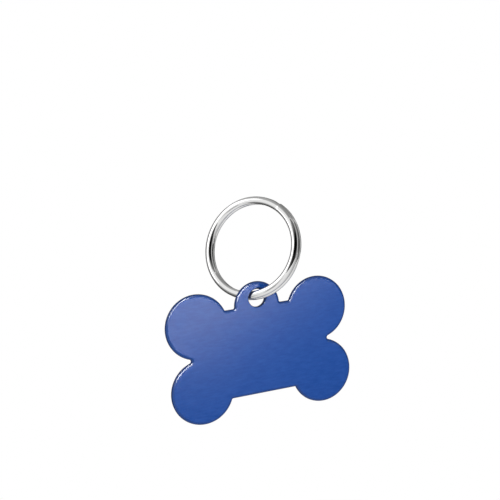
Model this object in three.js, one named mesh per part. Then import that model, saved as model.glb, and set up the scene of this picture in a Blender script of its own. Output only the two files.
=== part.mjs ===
// A bone-shaped pet tag: a stamped aluminium blank that hangs on a split ring of wound wire.
// Millimetres, +Z up. The blank hangs upright and its front faces -Y.
// The origin is the place inside the top of the ring where a collar's loop bears.

import * as THREE from "three";

const { degToRad } = THREE.MathUtils;

// Bone blank
const LOBE_RADIUS = 7.85;
const LOBE_GAP = 0.1;
const SHAFT_HEIGHT = 21.56;
const FLAT_BESIDE_TAB = 1.91;
const NOTCH_ROUND = 0.5;
const SHOULDER_ROUND = 0.35;
const BLANK_THICKNESS = 1.2;
const EDGE_LAND = 0.1;

// Hanging tab on the blank's upper edge, a half disc with a hole
const TAB_RADIUS = 5.81;
const TAB_RISE = 0.08;
const TAB_FOOT_ROUND = 0.4;
const METAL_ABOVE_HOLE = 1.65;
const HOLE_PLAY = 0.16;

// Split ring: one flat-sided wire wound almost twice round
const RING_OUTER_DIAMETER = 25;
const WIRE_WIDTH = 1.75;
const WIRE_HEIGHT = 0.68;
const TURN_GAP = 0.44;
const STEP_START = degToRad(55);
const STEP_SWEEP = degToRad(22.5);

// How the ring hangs in the hole
const RING_YAW = degToRad(-49.4);
const RING_LEAN = degToRad(70.7);
const CROSSING_ANGLE = degToRad(-81.4);
const SEAT_RISE = 0.5;
const SEAT_SHIFT = -0.12;

// Fineness of the facets
const ARC_STEP = degToRad(10);
const EDGE_STEPS = 3;
const WIRE_STEP = degToRad(4.5);
const SIDE_STEP = degToRad(45);
const HOLE_TRIALS = 96;

// Sizes that follow from the ones above
const shaftEdge = SHAFT_HEIGHT / 2;
const tabCentre = new THREE.Vector2(0, shaftEdge + TAB_RISE);
const tabFoot = new THREE.Vector2(0, shaftEdge + TAB_FOOT_ROUND);
tabFoot.x = legOf(TAB_RADIUS + TAB_FOOT_ROUND, tabFoot.y - tabCentre.y);
const shoulder = new THREE.Vector2(tabFoot.x + FLAT_BESIDE_TAB, shaftEdge + SHOULDER_ROUND);
const lobeCentre = new THREE.Vector2(0, LOBE_RADIUS + LOBE_GAP / 2);
lobeCentre.x = shoulder.x + legOf(LOBE_RADIUS + SHOULDER_ROUND, shoulder.y - lobeCentre.y);
const notch = new THREE.Vector2(lobeCentre.x + legOf(LOBE_RADIUS + NOTCH_ROUND, lobeCentre.y), 0);
const edgeRound = (BLANK_THICKNESS - EDGE_LAND) / 2;
const turnPitch = WIRE_HEIGHT + TURN_GAP;
const ringMeanRadius = (RING_OUTER_DIAMETER - WIRE_WIDTH) / 2;
const ringInnerRadius = RING_OUTER_DIAMETER / 2 - WIRE_WIDTH;
const wireRound = WIRE_HEIGHT / 2;
const coilReach = Math.hypot(WIRE_WIDTH / 2 - wireRound, turnPitch / 2) + wireRound;
const ringTurn = new THREE.Euler(RING_LEAN, 0, RING_YAW, "ZXY");
const wireAlong = ringDirection(-Math.sin(CROSSING_ANGLE), Math.cos(CROSSING_ANGLE), 0);
const wireInward = ringDirection(-Math.cos(CROSSING_ANGLE), -Math.sin(CROSSING_ANGLE), 0);
const ringAxis = ringDirection(0, 0, 1);
const holeRadius = leastHoleRadius() + HOLE_PLAY;
const holeCentre = new THREE.Vector2(0, tabCentre.y + TAB_RADIUS - METAL_ABOVE_HOLE - holeRadius);

// The other leg of a right-angled triangle.
function legOf(hypotenuse, leg) {
  return Math.sqrt(hypotenuse ** 2 - leg ** 2);
}

// A direction of the ring's own axes as it lies in the hung tag.
function ringDirection(x, y, z) {
  return new THREE.Vector3(x, y, z).applyEuler(ringTurn);
}

// The smallest hole that lets the curved coil slant through the blank between the hole's rounded rims.
// The coil counts as a round bar of its own reach, so that the blank can also swing round it.
function leastHoleRadius() {
  const barHalfLength = 2 * (BLANK_THICKNESS + coilReach);
  let least = 0;
  for (let i = 0; i <= HOLE_TRIALS; i += 1) {
    const along = barHalfLength * ((2 * i) / HOLE_TRIALS - 1);
    const sag = along ** 2 / (2 * ringMeanRadius);
    for (let j = 0; j < HOLE_TRIALS; j += 1) {
      const angle = (2 * Math.PI * j) / HOLE_TRIALS;
      const point = new THREE.Vector3(SEAT_SHIFT, 0, SEAT_RISE)
        .addScaledVector(wireAlong, along)
        .addScaledVector(wireInward, sag + coilReach * Math.cos(angle))
        .addScaledVector(ringAxis, coilReach * Math.sin(angle));
      const pastWall = Math.max(0, Math.abs(point.y) - EDGE_LAND / 2);
      if (pastWall < edgeRound) {
        const flare = edgeRound - Math.sqrt(edgeRound ** 2 - pastWall ** 2);
        least = Math.max(least, Math.hypot(point.x, point.z) - flare);
      }
    }
  }
  return least;
}

function arc(centre, radius, from, to, step = ARC_STEP) {
  const steps = Math.max(2, Math.ceil(Math.abs(to - from) / step));
  return Array.from({ length: steps + 1 }, (_, i) => {
    const angle = from + ((to - from) * i) / steps;
    return new THREE.Vector2(radius * Math.cos(angle), radius * Math.sin(angle)).add(centre);
  });
}

function heading(from, to) {
  return Math.atan2(to.y - from.y, to.x - from.x);
}

// The upper right quarter of the bone: half the end notch, a lobe and the shoulder beside the shaft.
function boneQuarter() {
  return [
    ...arc(notch, NOTCH_ROUND, Math.PI, heading(notch, lobeCentre)),
    ...arc(lobeCentre, LOBE_RADIUS, heading(lobeCentre, notch), heading(lobeCentre, shoulder)).slice(1),
    ...arc(shoulder, SHOULDER_ROUND, heading(shoulder, lobeCentre), -Math.PI / 2).slice(1),
  ];
}

// The tab's outline from right to left, with a small round at each foot.
function tabOutline() {
  const crownStart = heading(tabCentre, tabFoot);
  const rightFoot = arc(tabFoot, TAB_FOOT_ROUND, -Math.PI / 2, crownStart - Math.PI);
  const crown = arc(tabCentre, TAB_RADIUS, crownStart, Math.PI - crownStart);
  return [...rightFoot, ...crown.slice(1, -1), ...mirrored(rightFoot, -1, 1)];
}

// A copy of an outline mirrored in x, in y or in both, and walked the other way round for a single mirror.
function mirrored(points, signX, signY) {
  const copy = points.map((p) => new THREE.Vector2(signX * p.x, signY * p.y));
  return signX * signY < 0 ? copy.reverse() : copy;
}

function boneBlankGeometry() {
  const quarter = boneQuarter();
  const outline = [
    ...quarter,
    ...tabOutline(),
    ...mirrored(quarter, -1, 1),
    ...mirrored(quarter, -1, -1).slice(1),
    ...mirrored(quarter, 1, -1).slice(0, -1),
  ];
  const blank = new THREE.Shape(outline);
  blank.holes.push(new THREE.Path(arc(holeCentre, holeRadius, 0, -2 * Math.PI).slice(0, -1)));
  const geometry = new THREE.ExtrudeGeometry(blank, {
    depth: EDGE_LAND,
    bevelThickness: edgeRound,
    bevelSize: edgeRound,
    bevelOffset: -edgeRound,
    bevelSegments: EDGE_STEPS,
  });
  return geometry.translate(0, 0, -EDGE_LAND / 2);
}

// The wire's section: x across the ring, y along its axis, with half-round sides.
function wireSection() {
  const sideCentre = new THREE.Vector2(WIRE_WIDTH / 2 - wireRound, 0);
  const side = arc(sideCentre, wireRound, -Math.PI / 2, Math.PI / 2, SIDE_STEP);
  return [...side, ...mirrored(side, -1, -1)];
}

// Height of the wire's middle at an angle past its first end: the front turn, a smooth step, the back turn.
function wireLift(angle) {
  const stepAt = 2 * Math.PI - STEP_SWEEP;
  return turnPitch * (0.5 - THREE.MathUtils.smoothstep(angle, stepAt, stepAt + STEP_SWEEP));
}

// Points of the wire's sections from end to end. Both ends lie beside the step, so that each turn is level.
function wireRings() {
  const section = wireSection();
  const sweep = 4 * Math.PI - STEP_SWEEP;
  const steps = Math.ceil(sweep / WIRE_STEP);
  return Array.from({ length: steps + 1 }, (_, i) => {
    const past = (sweep * i) / steps;
    const angle = STEP_START + STEP_SWEEP + past;
    const lift = wireLift(past);
    return section.map(({ x, y }) => {
      const radius = ringMeanRadius + x;
      return new THREE.Vector3(radius * Math.cos(angle), radius * Math.sin(angle), lift + y);
    });
  });
}

// The least distance between points of the wire that lie over a quarter of a turn apart along it.
function leastGap(rings) {
  const apart = Math.ceil(Math.PI / 2 / WIRE_STEP);
  let least = Infinity;
  for (let i = 0; i + apart < rings.length; i += 1) {
    for (const other of rings.slice(i + apart).flat()) {
      for (const point of rings[i]) {
        least = Math.min(least, point.distanceTo(other));
      }
    }
  }
  return least;
}

function splitRingGeometry(rings) {
  const sides = rings[0].length;
  const last = (rings.length - 1) * sides;
  const triangles = [];
  for (let start = 0; start < last; start += sides) {
    for (let side = 0; side < sides; side += 1) {
      const a = start + side;
      const b = start + ((side + 1) % sides);
      triangles.push(a, a + sides, b, b, a + sides, b + sides);
    }
  }
  for (let side = 1; side + 1 < sides; side += 1) {
    triangles.push(0, side, side + 1, last, last + side + 1, last + side);
  }
  const geometry = new THREE.BufferGeometry().setFromPoints(rings.flat());
  geometry.setIndex(triangles);
  geometry.computeVertexNormals();
  return geometry;
}

const blueAnodised = new THREE.MeshStandardMaterial({ color: 0x3e62a6, roughness: 0.38, metalness: 0.9 });
const brightNickel = new THREE.MeshStandardMaterial({ color: 0xd9d9d6, roughness: 0.12, metalness: 1 });

const boneBlank = new THREE.Mesh(boneBlankGeometry(), blueAnodised);
boneBlank.name = "bone_blank";
boneBlank.rotation.x = Math.PI / 2;

const windings = wireRings();
const splitRing = new THREE.Mesh(splitRingGeometry(windings), brightNickel);
splitRing.name = "split_ring";
splitRing.position.set(-Math.cos(CROSSING_ANGLE), -Math.sin(CROSSING_ANGLE), 0);
splitRing.position.multiplyScalar(ringMeanRadius);
console.log(`Least gap between the ring's turns: ${leastGap(windings).toFixed(2)} mm`);

// The wire's middle crosses the blank's mid-plane a little above the hole's centre.
const hungRing = new THREE.Group();
hungRing.position.set(SEAT_SHIFT, 0, holeCentre.y + SEAT_RISE);
hungRing.rotation.copy(ringTurn);
hungRing.add(splitRing);

const tag = new THREE.Group();
tag.add(boneBlank, hungRing);
tag.updateMatrixWorld(true);
const collarSeat = splitRing.localToWorld(new THREE.Vector3(0, ringInnerRadius, 0));
tag.position.copy(collarSeat).negate();

export default tag;
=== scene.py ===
"""Looks of a bone-shaped pet tag: a brushed blue blank that hangs on a bright split ring.

Sizes in the classes are millimetres and degrees. Meshes are made in metres, in the part's own frame.
"""

import logging
import math
from dataclasses import dataclass
from enum import Enum
from typing import Any

import bmesh
import bpy
from mathutils import Euler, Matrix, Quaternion, Vector


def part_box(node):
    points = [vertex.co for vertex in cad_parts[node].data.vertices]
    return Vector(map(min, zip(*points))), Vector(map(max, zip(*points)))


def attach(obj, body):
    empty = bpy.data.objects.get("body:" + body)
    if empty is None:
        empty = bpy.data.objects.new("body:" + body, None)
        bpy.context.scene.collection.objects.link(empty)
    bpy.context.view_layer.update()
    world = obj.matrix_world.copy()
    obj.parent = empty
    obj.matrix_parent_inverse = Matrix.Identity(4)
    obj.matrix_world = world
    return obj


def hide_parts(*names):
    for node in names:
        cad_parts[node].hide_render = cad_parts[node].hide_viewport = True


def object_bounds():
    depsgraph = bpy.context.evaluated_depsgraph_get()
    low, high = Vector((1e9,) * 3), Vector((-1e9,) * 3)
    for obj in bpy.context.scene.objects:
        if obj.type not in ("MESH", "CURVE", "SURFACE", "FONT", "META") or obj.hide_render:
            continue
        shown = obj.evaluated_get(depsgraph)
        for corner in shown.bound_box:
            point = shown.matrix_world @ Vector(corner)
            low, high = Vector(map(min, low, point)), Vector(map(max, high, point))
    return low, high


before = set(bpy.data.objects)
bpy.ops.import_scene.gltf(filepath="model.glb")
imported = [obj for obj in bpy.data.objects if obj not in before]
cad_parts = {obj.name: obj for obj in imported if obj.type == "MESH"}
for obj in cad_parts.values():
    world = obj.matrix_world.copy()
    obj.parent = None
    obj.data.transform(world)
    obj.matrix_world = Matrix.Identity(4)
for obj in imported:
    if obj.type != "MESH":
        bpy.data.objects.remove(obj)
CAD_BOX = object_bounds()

MM = 0.001
FULL_TURN = 360.0
log = logging.getLogger("pet_tag")

Socket = bpy.types.NodeSocket
Number = float | Socket
Colour = tuple[float, float, float]
WHITE: Colour = (1.0, 1.0, 1.0)


class Body(Enum):
    """The parts that move as one."""

    RING = "ring"
    TAG = "tag"


class Slot(Enum):
    """The finishes that the record names."""

    BLUE = "blue_anodised_aluminium"
    NICKEL = "bright_nickel"


class Facing(Enum):
    """The two faces of the blank, by the sign of their normal along Y."""

    FRONT = -1
    BACK = 1


def opaque(colour: Colour) -> tuple[float, ...]:
    """The colour as a socket takes it, with nothing showing through."""
    return (*colour, 1.0)


def new_object(name: str, data: bpy.types.ID) -> bpy.types.Object:
    """Puts an object in the scene.

    Args:
        name: The object's name.
        data: Its mesh, light or camera.

    Returns:
        The new object.
    """
    made = bpy.data.objects.new(name, data)
    bpy.context.scene.collection.objects.link(made)
    return made


class Wiring:
    """Places nodes in a tree and joins them.

    A Mix node has sockets for every type of value. The numbers of those in use are named here, its share
    first.
    """

    NUMBER_MIX = (0, 2, 3)
    MIXED_NUMBER = 0
    COLOUR_MIX = (0, 6, 7)
    MIXED_COLOUR = 2

    def __init__(self, tree: bpy.types.NodeTree) -> None:
        """Keeps the tree that the nodes go into."""
        self.tree = tree

    def feed(self, node: bpy.types.Node, inputs: dict[str | int, Any]) -> None:
        """Sets or links a node's inputs.

        Args:
            node: The node to feed.
            inputs: A value or another node's socket for each input, by name or by number.
        """
        for key, value in inputs.items():
            if isinstance(value, Socket):
                self.tree.links.new(value, node.inputs[key])
            else:
                node.inputs[key].default_value = value

    def add(self, kind: str, inputs: dict[str | int, Any] | None = None, **settings: Any) -> bpy.types.Node:
        """Places one node.

        Args:
            kind: Blender's name for the type of node.
            inputs: A value or another node's socket for each input, by name or by number.
            settings: Values for the node's own properties.

        Returns:
            The new node.
        """
        node = self.tree.nodes.new(kind)
        for name, value in settings.items():
            setattr(node, name, value)
        self.feed(node, inputs or {})
        return node

    def group(self, tree: bpy.types.NodeTree, inputs: dict[str, Any]) -> bpy.types.NodeOutputs:
        """Places a shader group and returns its outputs."""
        return self.add("ShaderNodeGroup", inputs, node_tree=tree).outputs

    def math(self, operation: str, *values: Number) -> Socket:
        """Places a Math node and returns its result. The values follow in the operation's order."""
        return self.add("ShaderNodeMath", dict(enumerate(values)), operation=operation).outputs[0]

    def mix(self, *values: Number) -> Socket:
        """Mixes two numbers, which follow the share of the second, and returns the result."""
        return self.add("ShaderNodeMix", dict(zip(self.NUMBER_MIX, values))).outputs[self.MIXED_NUMBER]

    def mix_colours(self, *values: tuple[float, ...] | Socket) -> Socket:
        """Mixes two colours, which follow the share of the second, and returns the result."""
        mixer = self.add("ShaderNodeMix", dict(zip(self.COLOUR_MIX, values)), data_type="RGBA")
        return mixer.outputs[self.MIXED_COLOUR]

    def vector(self, *parts: Number) -> Socket:
        """Joins up to three numbers into a vector and returns its socket."""
        return self.add("ShaderNodeCombineXYZ", dict(enumerate(parts))).outputs[0]

    def split(self, vector: Socket) -> tuple[Socket, Socket, Socket]:
        """Splits a vector and returns the sockets of its three parts."""
        return tuple(self.add("ShaderNodeSeparateXYZ", {0: vector}).outputs)

    def scaled(self, vector: Socket, by: tuple[float, ...] | Socket) -> Socket:
        """Scales each part of a vector by itself and returns the result."""
        return self.add("ShaderNodeVectorMath", {0: vector, 1: by}, operation="MULTIPLY").outputs[0]

    def span(
        self,
        value: Socket,
        low: Number,
        high: Number,
        start: Number = 0.0,
        end: Number = 1.0,
        smooth: bool = False,
    ) -> Socket:
        """Maps a value onto another span and clamps it there.

        Args:
            value: The value to map.
            low: The result at the start of the old span.
            high: The result at the end of the old span.
            start: Start of the old span.
            end: End of the old span.
            smooth: Whether the result eases in and out.

        Returns:
            The socket that holds the result.
        """
        inputs = {"Value": value, "From Min": start, "From Max": end, "To Min": low, "To Max": high}
        course = "SMOOTHSTEP" if smooth else "LINEAR"
        return self.add("ShaderNodeMapRange", inputs, interpolation_type=course).outputs[0]

    def bump(self, height: Socket, strength: float, depth: float) -> Socket:
        """Turns the height of drawn lines into a normal.

        Args:
            height: The lines' height.
            strength: How much of the bump shows.
            depth: How deep the lines are, in millimetres.

        Returns:
            The socket that holds the normal.
        """
        inputs = {"Strength": strength, "Distance": depth * MM, "Height": height}
        return self.add("ShaderNodeBump", inputs).outputs[0]


def new_group(
    name: str, kind: str, takes: dict[str, str], gives: dict[str, str]
) -> tuple[Wiring, bpy.types.NodeOutputs, bpy.types.Node]:
    """Starts a node group.

    Args:
        name: The group's name.
        kind: ShaderNodeTree or GeometryNodeTree.
        takes: The type of each named input.
        gives: The type of each named output.

    Returns:
        The group's wiring, the sockets of its inputs and its output node.
    """
    tree = bpy.data.node_groups.new(name, kind)
    for direction, sockets in (("INPUT", takes), ("OUTPUT", gives)):
        for socket_name, socket_type in sockets.items():
            tree.interface.new_socket(socket_name, in_out=direction, socket_type=socket_type)
    wiring = Wiring(tree)
    return wiring, wiring.add("NodeGroupInput").outputs, wiring.add("NodeGroupOutput")


@dataclass(frozen=True)
class Noise:
    """The look of a noise: its amount of fine detail, how strong that is and how far it is pulled about."""

    detail: float
    roughness: float
    distortion: float = 0.0

    def place(self, wiring: Wiring, inputs: dict[str, Any], dimensions: str = "3D") -> Socket:
        """Places the noise.

        Args:
            wiring: The tree's wiring.
            inputs: Where the noise is read and at what scale.
            dimensions: Blender's name for the number of its dimensions.

        Returns:
            The socket that holds its value.
        """
        look = {"Detail": self.detail, "Roughness": self.roughness, "Distortion": self.distortion}
        noise = wiring.add("ShaderNodeTexNoise", {**inputs, **look}, noise_dimensions=dimensions)
        return noise.outputs["Fac"]


FINE_LINES = Noise(detail=3.0, roughness=0.65)
FINE_SCALE = 1.0
BROAD_LINES = Noise(detail=2.0, roughness=0.5)
BROAD_SCALE = 0.22
SMUDGES = Noise(detail=3.0, roughness=0.55, distortion=0.4)
SMUDGE_START = 0.42
SMUDGE_END = 0.72


def drawn_grain() -> bpy.types.NodeTree:
    """Makes the group for fine straight lines that a brush or a drawing die leaves in metal.

    Returns:
        A group that takes a place with its lines along X and gives the lines' height and a soft tone.
    """
    takes = {"Place": "NodeSocketVector", "Slow Turn": "NodeSocketFloat", "Line Count": "NodeSocketFloat"}
    gives = {"Height": "NodeSocketFloat", "Tone": "NodeSocketFloat"}
    wiring, given, outer = new_group("drawn_grain", "ShaderNodeTree", takes, gives)
    lines = {"Vector": wiring.scaled(given["Place"], given["Line Count"]), "W": given["Slow Turn"]}
    fine = FINE_LINES.place(wiring, {**lines, "Scale": FINE_SCALE}, "4D")
    broad = BROAD_LINES.place(wiring, {**lines, "Scale": BROAD_SCALE}, "4D")
    wiring.feed(outer, {"Height": fine, "Tone": broad})
    return wiring.tree


def handling_marks() -> bpy.types.NodeTree:
    """Makes the group for the soft smudges that handling leaves on bare metal.

    Returns:
        A group that takes a place in metres and a count of marks to the metre and gives a mask of smudges.
    """
    takes = {"Place": "NodeSocketVector", "Marks Per Metre": "NodeSocketFloat"}
    gives = {"Smudge": "NodeSocketFloat"}
    wiring, given, outer = new_group("handling_marks", "ShaderNodeTree", takes, gives)
    cloud = SMUDGES.place(wiring, {"Vector": given["Place"], "Scale": given["Marks Per Metre"]})
    wiring.feed(outer, {"Smudge": wiring.span(cloud, 0.0, 1.0, start=SMUDGE_START, end=SMUDGE_END)})
    return wiring.tree


@dataclass(frozen=True)
class MetalEffects:
    """The surface effects that both metals share."""

    grain: bpy.types.NodeTree
    marks: bpy.types.NodeTree


def new_material(name: str) -> tuple[bpy.types.Material, Wiring, bpy.types.Node]:
    """Starts a material with one Principled shader.

    Args:
        name: The material's name.

    Returns:
        The material, its wiring and its shader.
    """
    material = bpy.data.materials.new(name)
    material.use_nodes = True
    return material, Wiring(material.node_tree), material.node_tree.nodes["Principled BSDF"]


def bare_material(name: str) -> tuple[bpy.types.Material, Wiring, bpy.types.Node]:
    """Starts a material that has no shader yet.

    Args:
        name: The material's name.

    Returns:
        The material, its wiring and its output node.
    """
    material, wiring, shader = new_material(name)
    wiring.tree.nodes.remove(shader)
    return material, wiring, wiring.tree.nodes["Material Output"]


@dataclass(frozen=True)
class BrushedBlue:
    """Blue anodised aluminium: faces brushed along the length, smooth edges with painted shade on their outer
    sides, and a clear oxide on top.
    """

    colour: Colour = (0.0033, 0.061, 0.309)
    pale_line: Colour = (0.0049, 0.081, 0.391)
    pale_start: float = 0.7
    pale_end: float = 1.3
    # Painted shade: the dark navy painted on the outer sides of the edges, where they face away from the
    # light.
    edge_shade_colour: Colour = (0.002, 0.022, 0.110)
    edge_start: float = 0.5
    metallic: float = 0.4
    face_roughness: float = 0.62
    rim_roughness: float = 0.30
    smudge_roughness: float = 0.03
    gloss: float = 0.0
    oxide: float = 0.34
    pale_oxide: float = 0.66
    rim_oxide: float = 1.0
    rim_start: float = 0.25
    rim_end: float = 0.40
    oxide_roughness: float = 0.24
    oxide_index: float = 1.5
    brush_pull: float = 0.2
    lines_per_metre: float = 9000.0
    line_stretch: float = 0.25
    line_depth: float = 0.002
    line_strength: float = 0.16
    marks_per_metre: float = 130.0

    def material(self, effects: MetalEffects) -> bpy.types.Material:
        """Makes the finish.

        Args:
            effects: The shared surface effects.

        Returns:
            The material.
        """
        material, wiring, shader = new_material("brushed_blue_aluminium")
        place = wiring.add("ShaderNodeTexCoord").outputs["Object"]
        rim = wiring.add("ShaderNodeAttribute", attribute_name=BoneBlank.RIM).outputs["Fac"]
        along = wiring.scaled(place, (self.line_stretch, 1.0, 1.0))
        grain = wiring.group(effects.grain, {"Place": along, "Line Count": self.lines_per_metre})
        marks = wiring.group(effects.marks, {"Place": place, "Marks Per Metre": self.marks_per_metre})
        lines = wiring.math("ADD", grain["Tone"], grain["Height"])
        pale = wiring.span(lines, 0.0, 1.0, start=self.pale_start, end=self.pale_end)
        face_colour = wiring.mix_colours(pale, opaque(self.colour), opaque(self.pale_line))
        # Painted shade: past edge_start the rim is painted towards the dark navy, standing in for the shade
        # on the edge's side walls.
        edge = wiring.span(rim, 0.0, 1.0, start=self.edge_start)
        smudged = wiring.math("MULTIPLY_ADD", marks["Smudge"], self.smudge_roughness, self.face_roughness)
        height = wiring.math("MULTIPLY", grain["Height"], wiring.math("SUBTRACT", 1.0, rim))
        face_oxide = wiring.span(pale, self.oxide, self.pale_oxide)
        on_rim = wiring.span(rim, 0.0, 1.0, start=self.rim_start, end=self.rim_end)
        tangent = wiring.add("ShaderNodeTangent", direction_type="UV_MAP", uv_map=BoneBlank.BRUSH_MAP)
        surface = {
            "Base Color": wiring.mix_colours(edge, face_colour, opaque(self.edge_shade_colour)),
            "Roughness": wiring.mix(rim, smudged, self.rim_roughness),
            "Normal": wiring.bump(height, self.line_strength, self.line_depth),
            "Metallic": wiring.span(rim, self.metallic, 0.0, end=self.edge_start),
            "Coat Weight": wiring.mix(on_rim, face_oxide, self.rim_oxide),
            "Tangent": tangent.outputs[0],
            "Anisotropic": self.brush_pull,
            "Specular IOR Level": self.gloss,
            "Coat Roughness": self.oxide_roughness,
            "Coat IOR": self.oxide_index,
        }
        wiring.feed(shader, surface)
        return material


@dataclass(frozen=True)
class BrightNickel:
    """Polished nickel plate over drawn wire."""

    colour: Colour = (0.80, 0.80, 0.795)
    metallic: float = 1.0
    roughness: float = 0.04
    smudge_roughness: float = 0.03
    lines_per_metre: float = 9000.0
    line_stretch: float = 0.03
    line_depth: float = 0.001
    line_strength: float = 0.02
    marks_per_metre: float = 350.0

    def material(self, effects: MetalEffects, centre: Vector, turn: Euler) -> bpy.types.Material:
        """Makes the finish. Its lines run round the ring.

        Args:
            effects: The shared surface effects.
            centre: The ring's centre, in metres.
            turn: How the ring is turned.

        Returns:
            The material.
        """
        material, wiring, shader = new_material("bright_nickel_plate")
        place = wiring.add("ShaderNodeTexCoord").outputs["Object"]
        lie = {"Vector": place, "Location": centre, "Rotation": turn}
        own = wiring.add("ShaderNodeMapping", lie, vector_type="TEXTURE").outputs[0]
        across, back, along_axis = wiring.split(own)
        squares = wiring.math("ADD", wiring.math("POWER", across, 2.0), wiring.math("POWER", back, 2.0))
        slow = wiring.math("MULTIPLY", across, self.line_stretch)
        lines = {
            "Place": wiring.vector(slow, wiring.math("SQRT", squares), along_axis),
            "Slow Turn": wiring.math("MULTIPLY", back, self.line_stretch * self.lines_per_metre),
            "Line Count": self.lines_per_metre,
        }
        grain = wiring.group(effects.grain, lines)
        marks = wiring.group(effects.marks, {"Place": place, "Marks Per Metre": self.marks_per_metre})
        surface = {
            "Base Color": opaque(self.colour),
            "Metallic": self.metallic,
            "Roughness": wiring.math("MULTIPLY_ADD", marks["Smudge"], self.smudge_roughness, self.roughness),
            "Normal": wiring.bump(grain["Height"], self.line_strength, self.line_depth),
        }
        wiring.feed(shader, surface)
        return material


@dataclass(frozen=True)
class Arc:
    """A round stretch of the blank's outline."""

    centre: Vector
    radius: float
    start: float
    end: float

    LEAST_STEPS = 3

    def points(self, step: float) -> list[tuple[Vector, Vector]]:
        """Walks the arc.

        Args:
            step: The largest angle between points, in radians.

        Returns:
            Points with their normals out of the metal. The outline runs anticlockwise, so an arc that
            turns the other way is a hollow one.
        """
        count = max(self.LEAST_STEPS, math.ceil(abs(self.end - self.start) / step))
        outward = 1.0 if self.end > self.start else -1.0
        walked = []
        for i in range(count + 1):
            angle = self.start + (self.end - self.start) * i / count
            spoke = Vector((math.cos(angle), math.sin(angle)))
            walked.append((self.centre + self.radius * spoke, outward * spoke))
        return walked

    def mirrored(self) -> "Arc":
        """The same arc on the other side of the blank's upright middle line, walked the same way round."""
        centre = Vector((-self.centre.x, self.centre.y))
        return Arc(centre, self.radius, math.pi - self.end, math.pi - self.start)

    def flipped(self) -> "Arc":
        """The same arc below the blank's level middle line, walked the same way round."""
        return Arc(Vector((self.centre.x, -self.centre.y)), self.radius, -self.end, -self.start)


def heading(start: Vector, end: Vector) -> float:
    """The direction from one point to another, in radians."""
    return math.atan2(end.y - start.y, end.x - start.x)


def other_leg(hypotenuse: float, leg: float) -> float:
    """The other leg of a right-angled triangle."""
    return math.sqrt(hypotenuse**2 - leg**2)


@dataclass(frozen=True)
class Edge:
    """How an edge is broken: its chamfer's length and lean, and the radius of the chamfer's corners."""

    chamfer: float
    lean: float
    corner: float


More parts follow.
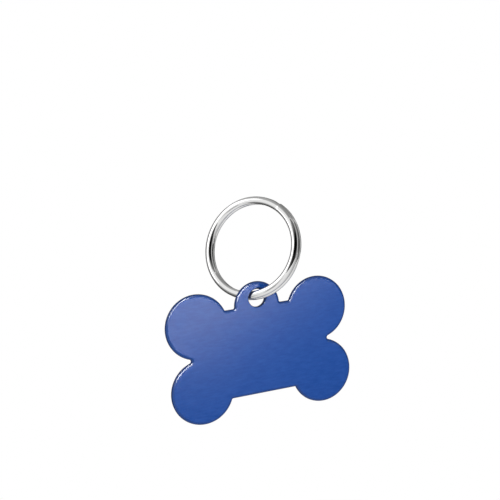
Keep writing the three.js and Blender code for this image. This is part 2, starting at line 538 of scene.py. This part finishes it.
@dataclass
class BoneBlank:
    """The stamped blank: four lobes, a shaft and a hanging tab with its hole, with all its edges broken."""

    lobe_radius: float = 7.85
    lobe_gap: float = 0.1
    shaft_height: float = 21.56
    flat_beside_tab: float = 1.91
    notch_round: float = 0.5
    shoulder_round: float = 0.35
    thickness: float = 1.2
    rim_edge: Edge = Edge(chamfer=0.2, lean=24.0, corner=0.5)
    tab_radius: float = 5.81
    tab_rise: float = 0.08
    tab_foot_round: float = 0.4
    hole_radius: float = 2.15
    hole_edge: Edge = Edge(chamfer=0.1, lean=45.0, corner=0.2)
    wear: float = 0.7
    wear_side: float = 37.0
    wear_spread: float = 2.0
    metal_above_hole: float = 1.88
    arc_step: float = 2.5
    edge_steps: int = 4
    same_place: float = 1e-6

    NODE = "bone_blank"
    PIECE = "brushed_blank"
    RIM = "rim"
    BRUSH_MAP = "brush_map"

    def centre(self) -> Vector:
        """Finds the blank's middle from where the solid lies.

        Returns:
            The place in the part's frame, in metres.
        """
        low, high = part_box(self.NODE)
        half_height = (2 * self.lobe_radius + self.lobe_gap / 2) * MM
        return Vector(((low.x + high.x) / 2, (low.y + high.y) / 2, low.z + half_height))

    def outline(self) -> list[Arc]:
        """Works out the blank's outline.

        Returns:
            The arcs in order, anticlockwise from the notch at the right end.
        """
        shaft_edge = self.shaft_height / 2
        tab = Vector((0.0, shaft_edge + self.tab_rise))
        foot = Vector((0.0, shaft_edge + self.tab_foot_round))
        foot.x = other_leg(self.tab_radius + self.tab_foot_round, foot.y - tab.y)
        shoulder = Vector((foot.x + self.flat_beside_tab, shaft_edge + self.shoulder_round))
        lobe = Vector((0.0, self.lobe_radius + self.lobe_gap / 2))
        lobe.x = shoulder.x + other_leg(self.lobe_radius + self.shoulder_round, shoulder.y - lobe.y)
        notch = Vector((lobe.x + other_leg(self.lobe_radius + self.notch_round, lobe.y), 0.0))
        quarter = [
            Arc(notch, self.notch_round, math.pi, heading(notch, lobe)),
            Arc(lobe, self.lobe_radius, heading(lobe, notch), heading(lobe, shoulder)),
            Arc(shoulder, self.shoulder_round, heading(shoulder, lobe), -math.pi / 2),
        ]
        crown_start = heading(tab, foot)
        right_foot = Arc(foot, self.tab_foot_round, -math.pi / 2, crown_start - math.pi)
        crown = Arc(tab, self.tab_radius, crown_start, math.pi - crown_start)
        left_half = [arc.mirrored() for arc in reversed(quarter)]
        lower_half = [arc.flipped() for arc in reversed([*quarter, *left_half])]
        return [*quarter, right_foot, crown, right_foot.mirrored(), *left_half, *lower_half]

    def hole(self) -> list[Arc]:
        """Works out the hole's outline.

        Returns:
            One arc, walked clockwise.
        """
        crown_top = self.shaft_height / 2 + self.tab_rise + self.tab_radius
        height = crown_top - self.metal_above_hole - self.hole_radius
        return [Arc(Vector((0.0, height)), self.hole_radius, 0.0, -math.tau)]

    def loop(self, arcs: list[Arc]) -> list[tuple[Vector, Vector]]:
        """Walks a closed outline and leaves out points that two arcs share.

        Args:
            arcs: The outline's arcs in order.

        Returns:
            Points with their normals out of the metal.
        """
        walked = [point for arc in arcs for point in arc.points(math.radians(self.arc_step))]
        return [
            point for i, point in enumerate(walked) if (point[0] - walked[i - 1][0]).length > self.same_place
        ]

    def chamfer_at(self, facing: Facing, normal: Vector, in_hole: bool) -> float:
        """Works out the chamfer at a point of an edge. The wire has worn the hole's edge where it leans.

        Args:
            facing: The face that the edge belongs to.
            normal: The edge's normal there, out of the metal.
            in_hole: Whether the edge is the hole's.

        Returns:
            The length of the chamfer's slope.
        """
        if not in_hole:
            return self.rim_edge.chamfer
        side = math.radians(self.wear_side)
        towards_wire = Vector((facing.value * math.cos(side), -math.sin(side)))
        worn = max(0.0, normal.dot(towards_wire)) ** self.wear_spread
        return self.hole_edge.chamfer + (self.wear - self.hole_edge.chamfer) * worn

    def edge_section(self, normal: Vector, in_hole: bool) -> list[tuple[float, float, float, float]]:
        """Works out the edge's section, from the front face to the back face: a chamfer with rounded corners.

        Args:
            normal: The edge's normal there, out of the metal.
            in_hole: Whether the edge is the hole's.

        Returns:
            For each row its inset, its place along Y, and how far its normal leans outward and along Y.
        """
        edge = self.hole_edge if in_hole else self.rim_edge
        lean = math.radians(edge.lean)
        side_depth = self.thickness / 2 - edge.corner
        rows = []
        for facing in Facing:
            chamfer = self.chamfer_at(facing, normal, in_hole)
            inner = (edge.corner + chamfer * math.cos(lean), side_depth, 0.0, lean)
            outer = (edge.corner, side_depth - chamfer * math.sin(lean), lean, math.pi / 2)
            half = []
            for inset, depth, first, last in (inner, outer):
                for i in range(self.edge_steps + 1):
                    angle = first + (last - first) * i / self.edge_steps
                    out, along = math.sin(angle), math.cos(angle)
                    place = facing.value * (depth + edge.corner * along)
                    half.append((inset - edge.corner * out, place, out, facing.value * along))
            rows += half if facing is Facing.FRONT else reversed(half)
        return rows

    def build_edge(
        self, shape: bmesh.types.BMesh, arcs: list[Arc], in_hole: bool
    ) -> tuple[list[list[bmesh.types.BMVert]], list[Vector]]:
        """Makes the metal's edge along one outline.

        Args:
            shape: The mesh to add to.
            arcs: The outline.
            in_hole: Whether the outline is the hole's.

        Returns:
            The edge's rings of vertices, from the front face to the back face, and their normals.
        """
        rim = shape.verts.layers.float[self.RIM]
        centre = self.centre()
        loop = self.loop(arcs)
        sections = [self.edge_section(normal, in_hole) for _, normal in loop]
        rings, normals = [], []
        for row in zip(*sections):
            ring = []
            for (point, normal), (inset, depth, out, along) in zip(loop, row):
                place = point - inset * normal
                vertex = shape.verts.new(centre + MM * Vector((place.x, depth, place.y)))
                vertex[rim] = out
                normals.append(Vector((out * normal.x, along, out * normal.y)))
                ring.append(vertex)
            rings.append(ring)
        for near, far in zip(rings, rings[1:]):
            for i in range(len(loop)):
                shape.faces.new((near[i - 1], far[i - 1], far[i], near[i]))
        return rings, normals

    def lay_brush_map(self, shape: bmesh.types.BMesh) -> None:
        """Lays the map that the brush lines follow, in millimetres along and up the blank.

        Args:
            shape: The blank's mesh.
        """
        brush_map = shape.loops.layers.uv.new(self.BRUSH_MAP)
        for face in shape.faces:
            for corner in face.loops:
                corner[brush_map].uv = (corner.vert.co.x / MM, corner.vert.co.z / MM)

    def build(self) -> bpy.types.Object:
        """Makes the blank's mesh.

        Returns:
            The new object, with its place in its mesh.
        """
        shape = bmesh.new()
        shape.verts.layers.float.new(self.RIM)
        normals: list[Vector] = []
        borders: dict[Facing, list[bmesh.types.BMEdge]] = {facing: [] for facing in Facing}
        for arcs, in_hole in ((self.outline(), False), (self.hole(), True)):
            rings, edge_normals = self.build_edge(shape, arcs, in_hole)
            normals += edge_normals
            for facing, ring in ((Facing.FRONT, rings[0]), (Facing.BACK, rings[-1])):
                borders[facing] += [shape.edges.get((ring[i - 1], ring[i])) for i in range(len(ring))]
        for facing, edges in borders.items():
            bmesh.ops.triangle_fill(shape, edges=edges, use_beauty=True, normal=(0.0, facing.value, 0.0))
        self.lay_brush_map(shape)
        mesh = bpy.data.meshes.new(self.PIECE)
        shape.to_mesh(mesh)
        shape.free()
        mesh.shade_smooth()
        mesh.normals_split_custom_set_from_vertices(normals)
        return new_object(self.PIECE, mesh)

    def dress(self, blank: bpy.types.Object, material: bpy.types.Material) -> None:
        """Gives the blank its finish and hangs it on its body.

        Args:
            blank: The blank's object.
            material: Its finish.
        """
        blank.data.materials.append(material)
        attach(blank, Body.TAG.value)
        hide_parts(self.NODE)


class Winding(Wiring):
    """The nodes that wind a wire into a split ring, from the sizes that their tree is given."""

    def __init__(self, tree: bpy.types.NodeTree, given: bpy.types.NodeOutputs) -> None:
        """Keeps the tree and the sockets of its inputs."""
        super().__init__(tree)
        self.given = given

    def keep(self, shape: Socket, value: Socket) -> tuple[Socket, Socket]:
        """Keeps a value with the points of a shape, for use after the shape has changed.

        Args:
            shape: The socket of the shape.
            value: The socket of a number for each of its points.

        Returns:
            The sockets of the shape and of the kept number.
        """
        keeper = self.add("GeometryNodeCaptureAttribute")
        keeper.capture_items.new("FLOAT", "Kept")
        self.feed(keeper, {0: shape, 1: value})
        return keeper.outputs[0], keeper.outputs[1]

    def path(self) -> tuple[Socket, Socket]:
        """Winds the wire's middle line: the front turn, the step and the back turn.

        Returns:
            The sockets of the path's curve and of the angle wound so far.
        """
        given = self.given
        last = self.math("SUBTRACT", given["Path Points"], 1.0)
        share = self.math("DIVIDE", self.add("GeometryNodeInputIndex").outputs[0], last)
        two_turns = self.math("SUBTRACT", 2 * math.tau, given["Wedge Tip"])
        past = self.math("MULTIPLY", share, self.math("ADD", two_turns, given["End Overlap"]))
        start = self.math("ADD", given["Step Start"], given["Wedge Tip"])
        angle = self.math("ADD", start, past)
        step_start = self.math("SUBTRACT", math.tau, given["Wedge Tip"])
        step_end = self.math("ADD", step_start, given["Step Sweep"])
        stepped = self.span(past, 0.0, 1.0, start=step_start, end=step_end, smooth=True)
        lift = self.math("MULTIPLY", self.math("SUBTRACT", 0.5, stepped), given["Turn Pitch"])
        inset_diameter = self.math("SUBTRACT", given["Outer Diameter"], given["Wire Width"])
        front_radius = self.math("MULTIPLY", inset_diameter, 0.5)
        radius = self.math("MULTIPLY_ADD", stepped, given["Back Spread"], front_radius)
        across = self.math("MULTIPLY", radius, self.math("COSINE", angle))
        up = self.math("MULTIPLY", radius, self.math("SINE", angle))
        line = self.add("GeometryNodeMeshLine", {"Count": given["Path Points"]})
        place = self.vector(across, up, lift)
        wound = self.add("GeometryNodeSetPosition", {0: line.outputs[0], "Position": place})
        curve = self.add("GeometryNodeMeshToCurve", {0: wound.outputs[0]})
        upright = self.add("GeometryNodeSetCurveNormal", {0: curve.outputs[0]}, mode="Z_UP")
        return upright.outputs[0], past

    def section(self) -> tuple[Socket, Socket]:
        """Makes the wire's section, a flattened round.

        Returns:
            The sockets of the section's curve and of how far back its points lie.
        """
        given = self.given
        round_wire = {"Resolution": given["Section Points"], "Radius": 1.0}
        circle = self.add("GeometryNodeCurvePrimitiveCircle", round_wire)
        across, up, _ = self.split(self.add("GeometryNodeInputPosition").outputs[0])
        power = self.math("DIVIDE", 2.0, given["Squareness"])
        sides = []
        for part, size in ((across, given["Wire Width"]), (up, given["Wire Height"])):
            fuller = self.math("POWER", self.math("ABSOLUTE", part), power)
            signed = self.math("MULTIPLY", fuller, self.math("SIGN", part))
            sides.append(self.math("MULTIPLY", signed, self.math("MULTIPLY", size, 0.5)))
        flattened = {0: circle.outputs[0], "Position": self.vector(*sides)}
        section = self.add("GeometryNodeSetPosition", flattened)
        _, backward, _ = self.split(self.add("GeometryNodeInputPosition").outputs[0])
        return section.outputs[0], backward

    def end_taper(self) -> Socket:
        """Draws in the wire's section at the back turn's cut end.

        Returns:
            The socket of the section's scale along the path.
        """
        index = self.add("GeometryNodeInputIndex").outputs[0]
        last = self.math("SUBTRACT", self.given["Path Points"], 1.0)
        return self.span(self.math("SUBTRACT", last, index), self.given["End Taper"], 1.0)

    def wedge_offset(self, past: Socket, backward: Socket) -> Socket:
        """Grinds the back of the front turn's end, so that it lies as a wedge along the step.

        Args:
            past: The angle wound so far.
            backward: How far each point lies behind the middle of the wire's section.

        Returns:
            The socket of the move that each point makes.
        """
        given = self.given
        past_tip = self.math("ADD", past, given["Wedge Tip"])
        most = self.math("MULTIPLY", given["Turn Pitch"], given["Wedge Fit"])
        room = self.span(past_tip, 0.0, most, end=given["Step Sweep"], smooth=True)
        left = self.math("MINIMUM", self.math("DIVIDE", room, given["Wire Height"]), 1.0)
        depth = self.math("ADD", self.math("ABSOLUTE", backward), backward)
        return self.vector(0.0, 0.0, self.math("MULTIPLY", depth, self.math("SUBTRACT", 1.0, left)))


@dataclass
class SplitRing:
    """The split ring: one wire wound almost twice round, with a step between its level turns."""

    outer_diameter: float = 25.2
    wire_width: float = 1.9
    wire_height: float = 0.95
    turn_pitch: float = 1.32
    back_spread: float = 0.1
    squareness: float = 2.2
    step_start: float = 55.0
    step_sweep: float = 22.5
    wedge_tip: float = 2.5
    wedge_fit: float = 0.92
    end_overlap: float = 5.0
    yaw: float = -49.4
    lean: float = 70.7
    path_step: float = 1.5
    section_points: int = 48
    end_taper_share: float = 0.82
    sharp_angle: float = 40.0

    NODE = "split_ring"
    PIECE = "wound_ring"

    def centre(self) -> Vector:
        """The ring's centre in the part's frame, in metres, from where the solid lies."""
        low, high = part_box(self.NODE)
        return (low + high) / 2

    def turn(self) -> Euler:
        """How the ring is turned in the part's frame."""
        return Euler((math.radians(self.lean), 0.0, math.radians(self.yaw)))

    def inputs(self, plating: bpy.types.Material) -> dict[str, tuple[str, Any]]:
        """Lists what the winding takes.

        Args:
            plating: The wire's finish.

        Returns:
            The type and the value of each input by its name, in metres and radians.
        """
        wound_angle = 2 * FULL_TURN - self.wedge_tip + self.end_overlap
        lengths = {
            "Outer Diameter": self.outer_diameter,
            "Wire Width": self.wire_width,
            "Wire Height": self.wire_height,
            "Turn Pitch": self.turn_pitch,
            "Back Spread": self.back_spread,
        }
        angles = {
            "Step Start": self.step_start,
            "Step Sweep": self.step_sweep,
            "Wedge Tip": self.wedge_tip,
            "End Overlap": self.end_overlap,
            "Sharp Angle": self.sharp_angle,
        }
        shares = {
            "Squareness": self.squareness,
            "Wedge Fit": self.wedge_fit,
            "End Taper": self.end_taper_share,
        }
        counts = {
            "Path Points": math.ceil(wound_angle / self.path_step) + 1,
            "Section Points": self.section_points,
        }
        return {
            **{name: ("NodeSocketFloat", length * MM) for name, length in lengths.items()},
            **{name: ("NodeSocketFloat", math.radians(angle)) for name, angle in angles.items()},
            **{name: ("NodeSocketFloat", share) for name, share in shares.items()},
            **{name: ("NodeSocketInt", count) for name, count in counts.items()},
            "Centre": ("NodeSocketVector", self.centre()),
            "Turn": ("NodeSocketRotation", self.turn()),
            "Plating": ("NodeSocketMaterial", plating),
        }

    def tree(self, takes: dict[str, str]) -> bpy.types.NodeTree:
        """Makes the tree that winds the wire.

        Args:
            takes: The type of each of its inputs by name.

        Returns:
            The geometry tree.
        """
        shape = {"Geometry": "NodeSocketGeometry"}
        wiring, given, outer = new_group("wound_wire", "GeometryNodeTree", {**shape, **takes}, shape)
        winding = Winding(wiring.tree, given)
        path, past = winding.keep(*winding.path())
        section, backward = winding.keep(*winding.section())
        wire = winding.add(
            "GeometryNodeCurveToMesh",
            {"Curve": path, "Profile Curve": section, "Scale": winding.end_taper(), "Fill Caps": True},
        )
        ground = winding.add(
            "GeometryNodeSetPosition", {0: wire.outputs[0], "Offset": winding.wedge_offset(past, backward)}
        )
        smooth = winding.add("GeometryNodeSetShadeSmooth", {0: ground.outputs[0]})
        corner = winding.add("GeometryNodeInputMeshEdgeAngle").outputs["Unsigned Angle"]
        sharp = winding.add(
            "FunctionNodeCompare", {0: corner, 1: given["Sharp Angle"]}, operation="GREATER_THAN"
        )
        creased = winding.add(
            "GeometryNodeSetShadeSmooth",
            {0: smooth.outputs[0], "Selection": sharp.outputs[0], "Shade Smooth": False},
            domain="EDGE",
        )
        hung = winding.add(
            "GeometryNodeTransform",
            {0: creased.outputs[0], "Translation": given["Centre"], "Rotation": given["Turn"]},
        )
        real = winding.add("GeometryNodeRealizeInstances", {0: hung.outputs[0]})
        plated = winding.add("GeometryNodeSetMaterial", {0: real.outputs[0], "Material": given["Plating"]})
        winding.feed(outer, {"Geometry": plated.outputs[0]})
        return winding.tree

    def build(self, plating: bpy.types.Material) -> bpy.types.Object:
        """Winds the ring and turns the result into a plain mesh.

        Args:
            plating: The wire's finish.

        Returns:
            The new object, with its place in its mesh.
        """
        inputs = self.inputs(plating)
        ring = new_object(self.PIECE, bpy.data.meshes.new(self.PIECE))
        modifier = ring.modifiers.new("winding", "NODES")
        modifier.node_group = self.tree({name: kind for name, (kind, _) in inputs.items()})
        for item in modifier.node_group.interface.items_tree:
            if item.in_out == "INPUT" and item.name in inputs:
                _, value = inputs[item.name]
                modifier[item.identifier] = value
        evaluated = ring.evaluated_get(bpy.context.evaluated_depsgraph_get())
        mesh = bpy.data.meshes.new_from_object(evaluated)
        ring.modifiers.clear()
        ring.data = mesh
        mesh.name = self.PIECE
        return ring

    def dress(self, ring: bpy.types.Object) -> None:
        """Hangs the ring on its body. Its tree has already plated it.

        Args:
            ring: The ring's object.
        """
        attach(ring, Body.RING.value)
        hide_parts(self.NODE)


@dataclass(frozen=True)
class Panel:
    """A soft panel of light that faces the tag.

    It stands so many degrees right of the camera and above it, as seen from the tag. Its level is the
    brightness of its face. A panel for the blank's gloss is mirrored by the blank and lights nothing else.
    """

    name: str
    across: float
    up: float
    distance: float
    width: float
    height: float
    level: float
    spin: float = 0.0
    for_gloss: bool = False


@dataclass(frozen=True)
class Flag:
    """A sheet of cloth that only mirrors see.

    It hangs between rows of corners. Each corner holds degrees right of the camera and above it, as seen
    from the tag, and the cloth's level there.
    """

    name: str
    distance: float
    rows: tuple[tuple[tuple[float, float, float], ...], ...]

    LEVEL = "level"


@dataclass
class Studio:
    """The white studio round the tag: a floor, soft panels of light, flags of cloth and the camera."""

    floor_drop: float = 60.0
    floor_side: float = 4000.0
    floor_white: float = 0.80
    floor_glow: float = 0.30
    shadow_reach: float = 40.0
    white_reach: float = 88.0
    ambient: float = 0.61
    aim: tuple[float, float, float] = (-3.16, -1.89, -10.64)
    azimuth: float = -21.77
    elevation: float = 8.06
    roll: float = -4.88
    camera_distance: float = 262.0
    lens: float = 77.8
    nearest_seen: float = 10.0
    cloth_lift: float = 4.0
    panels: tuple[Panel, ...] = (
        Panel("left_panel", across=-78.0, up=30.0, distance=300.0, width=230.0, height=220.0, level=1.35),
        Panel(
            "sheen_panel",
            across=49.0,
            up=-8.1,
            distance=220.0,
            width=175.0,
            height=24.0,
            level=14.2,
            spin=33.2,
            for_gloss=True,
        ),
        Panel(
            "edge_panel",
            across=6.5,
            up=13.5,
            distance=200.0,
            width=165.0,
            height=34.0,
            level=31.0,
            spin=48.0,
            for_gloss=True,
        ),
    )
    flags: tuple[Flag, ...] = (
        Flag(
            "dark_room",
            250.0,
            (
                ((-50, 21, 0.3), (-36, 31, 0.35), (-14, 44, 0.18), (4, 48, 0.3), (24, 52, 0.5)),
                ((-49, 20, 0.1), (-33, 25, 0.0), (-12, 31, 0.0), (6, 33, 0.1), (28, 37, 0.45)),
                ((-48, 20, 0.0), (-32, 18, 0.0), (-14, 18, 0.0), (8, 20, 0.02), (30, 22, 0.4)),
                ((-50, 19, 0.2), (-37, 9, 0.12), (-14, 4, 0.02), (6, 2, 0.1), (22, 0, 0.4)),
            ),
        ),
        Flag(
            "right_wall",
            260.0,
            (
                ((24, 52, 0.5), (42, 57, 0.5), (66, 62, 0.4), (112, 80, 0.1)),
                ((28, 37, 0.45), (46, 38, 0.6), (72, 39, 0.3), (100, 40, 0.06)),
                ((30, 22, 0.4), (45, 20, 1.2), (64, 18, 0.25), (88, 16, 0.02)),
                ((22, 0, 0.4), (48, -6, 0.5), (72, -8, 0.15), (112, -10, 0.04)),
            ),
        ),
        Flag(
            "ceiling",
            270.0,
            (
                ((-52, 42, 0.85), (-36, 31, 0.5), (-14, 45, 0.25), (24, 52, 0.5), (60, 62, 0.45)),
                ((-82, 72, 0.6), (-56, 92, 0.5), (-20, 94, 0.4), (20, 94, 0.3), (112, 80, 0.12)),
            ),
        ),
        Flag(
            "rear_cloth",
            280.0,
            (
                ((-72, 4, 0.95), (-83, 3, 0.4), (-160, -10, 0.02)),
                ((-72, 20, 0.95), (-82, 20, 0.4), (-165, 10, 0.02)),
                ((-70, 42, 0.95), (-80, 46, 0.4), (-140, 70, 0.02)),
                ((-64, 62, 0.9), (-74, 72, 0.4), (-115, 115, 0.02)),
                ((-50, 82, 0.6), (-54, 94, 0.3), (-70, 145, 0.02)),
                ((20, 86, 0.3), (20, 94, 0.2), (20, 160, 0.02)),
                ((100, 74, 0.15), (112, 80, 0.1), (135, 100, 0.02)),
                ((92, 40, 0.08), (100, 40, 0.06), (150, 50, 0.02)),
                ((80, 16, 0.04), (88, 16, 0.02), (160, 30, 0.02)),
                ((100, -10, 0.06), (112, -10, 0.04), (165, -10, 0.02)),
            ),
        ),
        Flag(
            "left_post",
            245.0,
            (
                ((-51, 14, 0.6), (-42, 12, 0.45)),
                ((-49, 8, 0.3), (-41, 5, 0.35)),
                ((-47, 0, 0.45), (-37, -4, 0.6)),
            ),
        ),
        Flag(
            "low_left_cloth",
            280.0,
            (
                ((-46, 6, 0.9), (-66, 6, 0.7), (-86, 4, 0.4), (-160, -10, 0.02)),
                ((-48, -18, 0.25), (-74, -14, 0.2), (-104, -16, 0.1), (-150, -40, 0.02)),
                ((-48, -50, 0.03), (-84, -52, 0.03), (-116, -58, 0.02), (-130, -90, 0.02)),
                ((-38, -108, 0.03), (-60, -122, 0.03), (-85, -130, 0.02), (-95, -135, 0.02)),
            ),
        ),
        Flag(
            "front_table",
            270.0,
            (
                ((-46, 6, 0.9), (-14, -1, 0.9), (22, -3, 0.6), (50, -8, 0.45), (112, -12, 0.15)),
                ((-48, -30, 0.8), (-14, -34, 1.0), (16, -36, 0.85), (48, -38, 0.65), (112, -40, 0.4)),
                ((-38, -108, 0.2), (-14, -112, 0.3), (10, -112, 0.5), (40, -108, 0.6), (84, -104, 0.5)),
            ),
        ),
    )

    def build(self, blank: bpy.types.Object) -> None:
        """Makes the floor, the lights, the flags, the white surround and the camera.

        Args:
            blank: The blank, which the gloss panels light alone.
        """
        self.build_surround()
        self.build_floor()
        for panel in self.panels:
            lamp = self.build_light(panel)
            if panel.for_gloss:
                self.keep_to_gloss(lamp, blank)
        for flag in self.flags:
            self.build_flag(flag)
        self.build_camera()

    def camera_turn(self) -> Quaternion:
        """Works out how the camera is turned.

        Returns:
            The turn after which its X is right, its Y is up and its Z points back at it.
        """
        azimuth, elevation = math.radians(self.azimuth), math.radians(self.elevation)
        back = Vector((math.sin(azimuth), -math.cos(azimuth), math.tan(elevation)))
        return back.to_track_quat("Z", "Y") @ Quaternion((0, 0, 1), math.radians(self.roll))

    def place_at(self, across: float, up: float, distance: float) -> Vector:
        """Finds a place round the tag.

        Args:
            across: Degrees right of the camera, as seen from the tag.
            up: Degrees above the camera.
            distance: Millimetres from the tag.

        Returns:
            The place in metres.
        """
        spread, spin = math.radians(math.hypot(across, up)), math.atan2(up, across)
        off = math.sin(spread)
        towards = Vector((off * math.cos(spin), off * math.sin(spin), math.cos(spread)))
        return (Vector(self.aim) + distance * (self.camera_turn() @ towards)) * MM

    def floor_level(self) -> float:
        """The floor's height in the part's frame, in metres."""
        return CAD_BOX[0].z - self.floor_drop * MM

    def above_floor(self, place: Vector) -> Vector:
        """Draws a cloth's corner that would be under the floor in towards the tag until it lies on it.

        Args:
            place: The corner, in metres.

        Returns:
            The corner's place above the floor.
        """
        aim = Vector(self.aim) * MM
        lowest = self.floor_level() + self.cloth_lift * MM
        if place.z >= lowest:
            return place
        return aim.lerp(place, (aim.z - lowest) / (aim.z - place.z))

    @staticmethod
    def seen(wiring: Wiring) -> Socket:
        """Finds the rays that see a surface.

        Args:
            wiring: The wiring of the surface's material.

        Returns:
            A socket that is one for a ray from the camera, a mirror or glass, and nought for others.
        """
        path = wiring.add("ShaderNodeLightPath").outputs
        mirrored = wiring.math("MAXIMUM", path["Is Glossy Ray"], path["Is Transmission Ray"])
        return wiring.math("MAXIMUM", path["Is Camera Ray"], mirrored)

    def build_surround(self) -> None:
        """Makes the world: white where it is seen, and a softer light on the tag."""
        world = bpy.data.worlds.new("white_surround")
        bpy.context.scene.world = world
        world.use_nodes = True
        wiring = Wiring(world.node_tree)
        strength = wiring.span(self.seen(wiring), self.ambient, 1.0)
        wiring.feed(wiring.tree.nodes["Background"], {"Color": opaque(WHITE), "Strength": strength})

    def build_floor(self) -> None:
        """Makes the pale floor below the tag, which keeps the tag's shadow."""
        material, wiring, output = bare_material("pale_floor")
        matt = wiring.add("ShaderNodeBsdfDiffuse", {"Color": opaque((self.floor_white,) * 3)})
        lifted = wiring.math("MULTIPLY", self.seen(wiring), self.floor_glow)
        glow = wiring.add("ShaderNodeEmission", {"Strength": lifted})
        near = wiring.add("ShaderNodeAddShader", {0: matt.outputs[0], 1: glow.outputs[0]})
        white = wiring.add("ShaderNodeEmission", {"Color": opaque(WHITE), "Strength": 1.0})
        flat = wiring.scaled(wiring.add("ShaderNodeTexCoord").outputs["Object"], (1.0, 1.0, 0.0))
        away = wiring.add("ShaderNodeVectorMath", {0: flat}, operation="LENGTH").outputs["Value"]
        far = wiring.span(away, 0.0, 1.0, start=self.shadow_reach * MM, end=self.white_reach * MM)
        share = wiring.math("MULTIPLY", far, self.seen(wiring))
        both = wiring.add("ShaderNodeMixShader", {0: share, 1: near.outputs[0], 2: white.outputs[0]})
        wiring.feed(output, {"Surface": both.outputs[0]})
        level = self.floor_level()
        half = self.floor_side * MM / 2
        sides = ((-1, -1), (1, -1), (1, 1), (-1, 1))
        corners = [Vector((x * half, y * half, level)) for x, y in sides]
        floor = self.sheet_of("pale_floor", corners, [(0, 1, 2, 3)])
        floor.data.materials.append(material)

    @staticmethod
    def sheet_of(name: str, corners: list[Vector], patches: list[tuple[int, ...]]) -> bpy.types.Object:
        """Makes a sheet that belongs to the studio.

        Args:
            name: The sheet's name.
            corners: Its corners, in metres.
            patches: The corners round each of its flat patches, by number.

        Returns:
            The new sheet.
        """
        mesh = bpy.data.meshes.new(name)
        mesh.from_pydata(corners, [], patches)
        sheet = new_object(name, mesh)
        return sheet

    def build_light(self, panel: Panel) -> bpy.types.Object:
        """Makes a soft panel of light.

        Args:
            panel: The panel's size, place and level.

        Returns:
            The new lamp.
        """
        light = bpy.data.lights.new(panel.name, "AREA")
        light.shape = "RECTANGLE"
        light.size, light.size_y = panel.width * MM, panel.height * MM
        light.energy = panel.level * math.pi * light.size * light.size_y
        lamp = new_object(panel.name, light)
        lamp.location = self.place_at(panel.across, panel.up, panel.distance)
        facing = (lamp.location - Vector(self.aim) * MM).to_track_quat("Z", "Y")
        lamp.rotation_euler = (facing @ Quaternion((0, 0, 1), math.radians(panel.spin))).to_euler()
        lamp.visible_camera = False
        return lamp

    @staticmethod
    def keep_to_gloss(lamp: bpy.types.Object, blank: bpy.types.Object) -> None:
        """Lets a lamp show in the blank's gloss and nowhere else.

        Args:
            lamp: The lamp.
            blank: The blank.
        """
        lit = bpy.data.collections.new(lamp.name)
        lit.objects.link(blank)
        lamp.light_linking.receiver_collection = lit
        lamp.visible_diffuse = False
        lamp.data.cycles.use_multiple_importance_sampling = False

    def build_flag(self, flag: Flag) -> None:
        """Makes a flag, which only mirrors see.

        Args:
            flag: The flag's corners and levels.
        """
        corners = [corner for row in flag.rows for corner in row]
        places = [self.above_floor(self.place_at(across, up, flag.distance)) for across, up, _ in corners]
        count = len(flag.rows[0])
        patches = [
            (i, i + 1, i + count + 1, i + count) for i in range(len(corners) - count) if (i + 1) % count
        ]
        sheet = self.sheet_of(flag.name, places, patches)
        sheet.visible_camera = sheet.visible_diffuse = sheet.visible_shadow = False
        levels = sheet.data.attributes.new(flag.LEVEL, "FLOAT", "POINT")
        levels.data.foreach_set("value", [level for _, _, level in corners])
        material, wiring, output = bare_material(flag.name)
        level = wiring.add("ShaderNodeAttribute", attribute_name=flag.LEVEL).outputs["Fac"]
        cloth = wiring.add("ShaderNodeEmission", {"Strength": level})
        wiring.feed(output, {"Surface": cloth.outputs[0]})
        sheet.data.materials.append(material)

    def build_camera(self) -> None:
        """Makes the camera at the photograph's viewing angle."""
        camera = new_object("camera", bpy.data.cameras.new("camera"))
        camera.data.lens = self.lens
        camera.data.clip_start = self.nearest_seen * MM
        camera.location = self.place_at(0.0, 0.0, self.camera_distance)
        camera.rotation_mode = "QUATERNION"
        camera.rotation_quaternion = self.camera_turn()
        bpy.context.scene.camera = camera


def main() -> None:
    """Builds the ring, the blank and the studio, and reports each piece."""
    logging.basicConfig(level=logging.INFO, format="%(name)s: %(message)s")
    bpy.context.scene.view_settings.view_transform = "Standard"
    effects = MetalEffects(drawn_grain(), handling_marks())

    split_ring = SplitRing()
    plating = BrightNickel().material(effects, split_ring.centre(), split_ring.turn())
    ring = split_ring.build(plating)
    split_ring.dress(ring)
    log.info("%s has %d faces", ring.name, len(ring.data.polygons))

    bone_blank = BoneBlank()
    blank = bone_blank.build()
    bone_blank.dress(blank, BrushedBlue().material(effects))
    log.info("%s has %d faces", blank.name, len(blank.data.polygons))
    Studio().build(blank)


if __name__ == "__main__":
    main()
